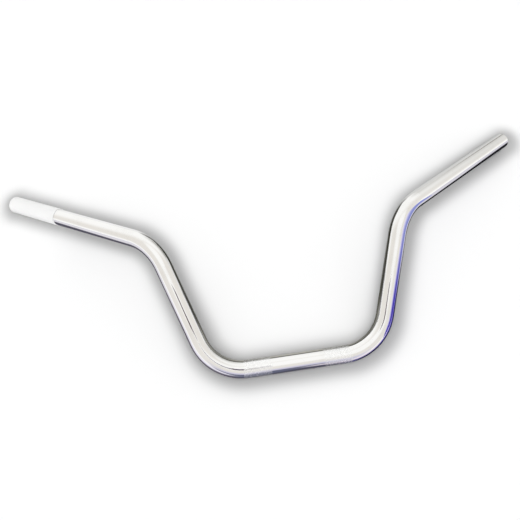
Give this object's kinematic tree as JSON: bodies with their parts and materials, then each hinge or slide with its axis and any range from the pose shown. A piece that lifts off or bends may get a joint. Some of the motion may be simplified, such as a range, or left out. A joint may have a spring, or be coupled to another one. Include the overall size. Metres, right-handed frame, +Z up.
{
  "type": "handlebar",
  "caption": "Chromed bent-tube handlebar with a knurled clamp zone, raised risers, swept-back grips and a white throttle sleeve.",
  "frame": {"origin": "middle of the straight clamp zone, on the tube's axis", "axes": "+X along the clamp zone, towards the bare end (the rider's left). +Z up, away from the surface that the bar lies on, with the clamp zone and both tips down. +Y from the clamp zone towards the tips. To mount the bar, turn it about X until the risers stand up."},
  "size_m": [0.7406, 0.3018, 0.0797],
  "materials": {
    "chrome": "bright chrome plate on steel tube",
    "white_plastic": "smooth white plastic"
  },
  "bodies": {
    "root": {"bar_tube": "chrome", "throttle_sleeve": "white_plastic"}
  },
  "joints": []
}
